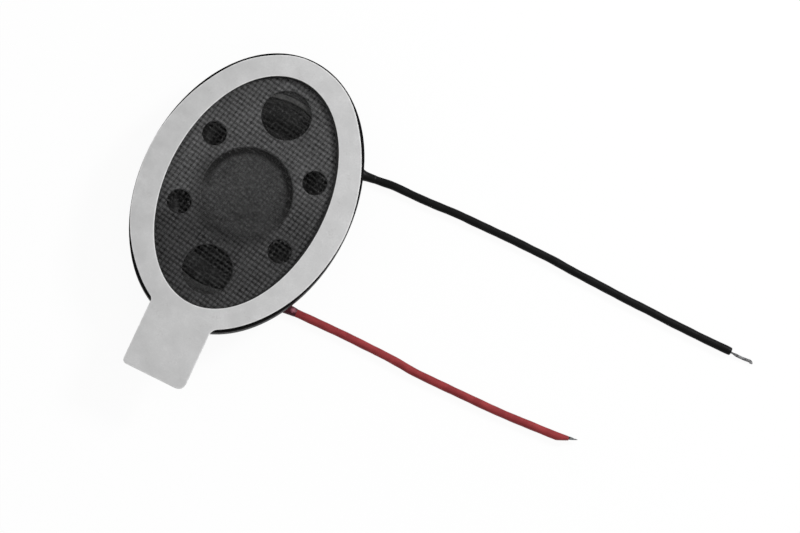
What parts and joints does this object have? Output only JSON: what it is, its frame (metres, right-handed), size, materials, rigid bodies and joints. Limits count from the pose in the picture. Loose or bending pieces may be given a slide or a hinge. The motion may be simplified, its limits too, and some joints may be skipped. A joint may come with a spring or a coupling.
{
  "type": "phone loudspeaker",
  "caption": "Oval phone loudspeaker with a dust mesh, a tabbed release liner on its gasket and black and red flying leads.",
  "frame": {"origin": "centre of the yoke's flat back face, on which the loudspeaker rests", "axes": "+Z out of the sound side, +Y along the oval away from the pull tab, +X towards the side where the leads leave"},
  "size_m": [0.0588, 0.0331, 0.005],
  "materials": {
    "liner_paper": "matt silicone-coated paper, light grey, slightly mottled",
    "adhesive_film": "milky adhesive film, seen at its edge",
    "gasket_foam": "black closed-cell foam",
    "mesh_cloth": "fine woven dust mesh, dark grey",
    "cover_black": "black pressed cover, satin",
    "frame_plastic": "black moulded plastic, satin",
    "clamp_plastic": "dark grey plastic ring",
    "film_surround": "thermoformed film, smoky",
    "film_diaphragm": "composite film plate, grey",
    "copper_wire": "enamelled copper",
    "yoke_steel": "nickel-plated steel, satin",
    "magnet_nickel": "nickel-plated magnet",
    "damping_cloth": "grey non-woven damping cloth",
    "board_green": "green solder resist on a small board",
    "pad_tin": "tinned copper pad",
    "solder_tin": "bright solder",
    "glue_dark": "black glue, glossy",
    "glue_clear": "clear glue over the red lead, glossy",
    "insulation_black": "black lead insulation, satin",
    "insulation_red": "dull red lead insulation, satin",
    "lead_strands": "twisted tinned copper strands"
  },
  "bodies": {
    "housing": {"release_liner": "liner_paper", "gasket_adhesive": "adhesive_film", "front_gasket": "gasket_foam", "dust_mesh": "mesh_cloth", "front_cover": "cover_black", "frame": "frame_plastic", "clamp_ring": "clamp_plastic", "surround": "film_surround", "coil_wire_black": "copper_wire", "coil_wire_red": "copper_wire", "yoke": "yoke_steel", "pole_plate": "yoke_steel", "magnet": "magnet_nickel", "vent_cloth_1": "damping_cloth", "vent_cloth_2": "damping_cloth", "terminal_board_black": "board_green", "terminal_board_red": "board_green", "terminal_pad_black": "pad_tin", "terminal_pad_red": "pad_tin", "solder_black": "solder_tin", "solder_red": "solder_tin", "wire_solder_black": "solder_tin", "wire_solder_red": "solder_tin", "glue_black": "glue_dark", "glue_red": "glue_clear", "lead_black": "insulation_black", "lead_red": "insulation_red", "conductor_black": "lead_strands", "conductor_red": "lead_strands"},
    "cone": {"diaphragm": "film_diaphragm", "voice_coil": "copper_wire"}
  },
  "joints": [
    {"name": "cone_travel", "type": "slide", "parent": "housing", "child": "cone", "axis": [0, 0, 1], "range_m": [-0.0003, 0.0003], "stiffness_N_per_m": 500, "deforming": ["surround", "coil_wire_black", "coil_wire_red"]}
  ]
}
